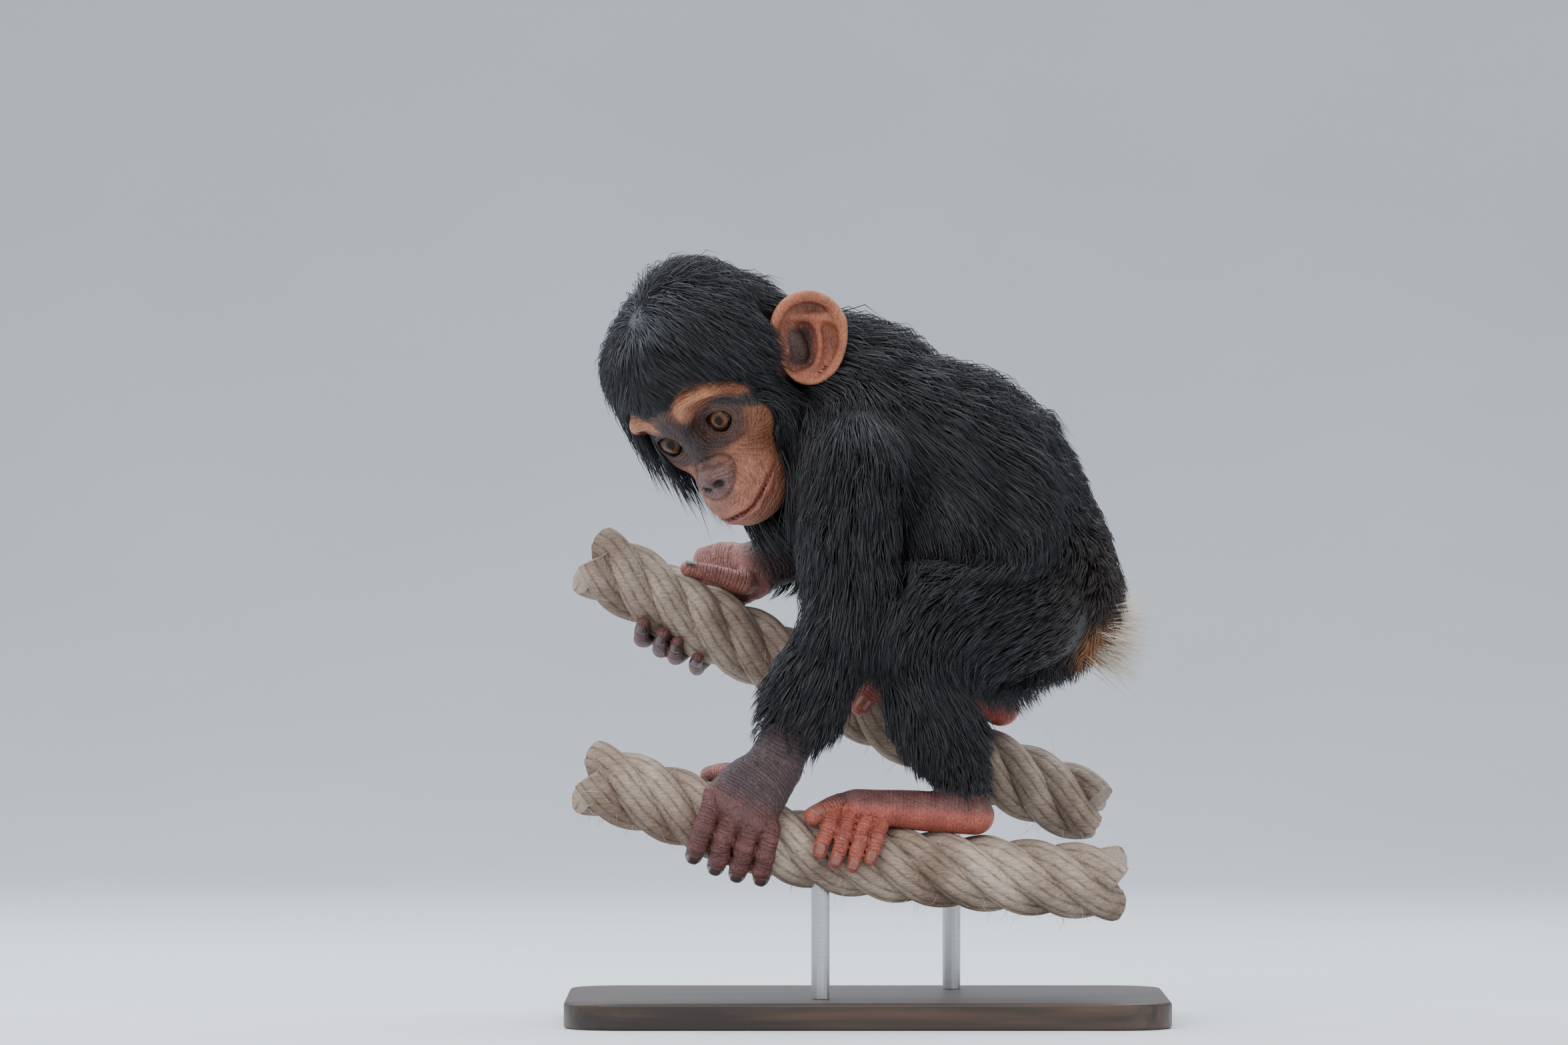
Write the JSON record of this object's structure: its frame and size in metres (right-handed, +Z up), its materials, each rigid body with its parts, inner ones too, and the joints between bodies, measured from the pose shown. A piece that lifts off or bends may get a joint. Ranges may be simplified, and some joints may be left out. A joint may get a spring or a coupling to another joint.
{
  "type": "young chimpanzee model",
  "caption": "Life-size still model of a young chimpanzee crouched on two thick twisted ropes, head bowed and turned aside, on a flat display stand with short rods.",
  "frame": {"origin": "centre of the flat underside of the stand's base", "axes": "+Z up; the animal faces -X, its left side is towards -Y, and the ropes run along X"},
  "size_m": [0.36, 0.2473, 0.4583],
  "materials": {
    "coat": "long soft near-black hair with a bluish grey sheen",
    "face_skin": "bare wrinkled orange-brown skin, darker round the eyes and nose",
    "ear_skin": "bare orange-pink skin, darker in the bowl",
    "hand_skin": "bare wrinkled grey-brown skin, redder towards the finger tips",
    "sole_skin": "bare reddish pink skin",
    "eye": "glossy brown iris with a dark rim",
    "nail": "dark satin nails",
    "tuft": "white hair, orange towards its root",
    "rope": "hairy beige plant-fibre rope, darker where it is worn",
    "stand_base": "dark stained satin board",
    "stand_rod": "brushed"
  },
  "bodies": {
    "root": {"head": "coat", "neck": "coat", "torso": "coat", "tail_tuft": "tuft", "rope_near": "rope", "rope_far": "rope", "stand_base": "stand_base", "stand_rod_near": "stand_rod", "stand_rod_far": "stand_rod", "eye_left": "eye", "ear_left": "ear_skin", "upper_arm_left": "coat", "forearm_left": "coat", "thigh_left": "coat", "shin_left": "coat", "hand_left": "hand_skin", "thumb_left": "hand_skin", "finger_left_index": "hand_skin", "finger_left_middle": "hand_skin", "finger_left_ring": "hand_skin", "finger_left_little": "hand_skin", "foot_left": "sole_skin", "toe_left_big": "sole_skin", "toe_left_2": "sole_skin", "toe_left_3": "sole_skin", "toe_left_4": "sole_skin", "toe_left_5": "sole_skin", "eye_right": "eye", "ear_right": "ear_skin", "upper_arm_right": "coat", "forearm_right": "coat", "thigh_right": "coat", "shin_right": "coat", "hand_right": "hand_skin", "thumb_right": "hand_skin", "finger_right_index": "hand_skin", "finger_right_middle": "hand_skin", "finger_right_ring": "hand_skin", "finger_right_little": "hand_skin", "foot_right": "sole_skin", "toe_right_big": "sole_skin", "toe_right_2": "sole_skin", "toe_right_3": "sole_skin", "toe_right_4": "sole_skin", "toe_right_5": "sole_skin"}
  },
  "joints": []
}
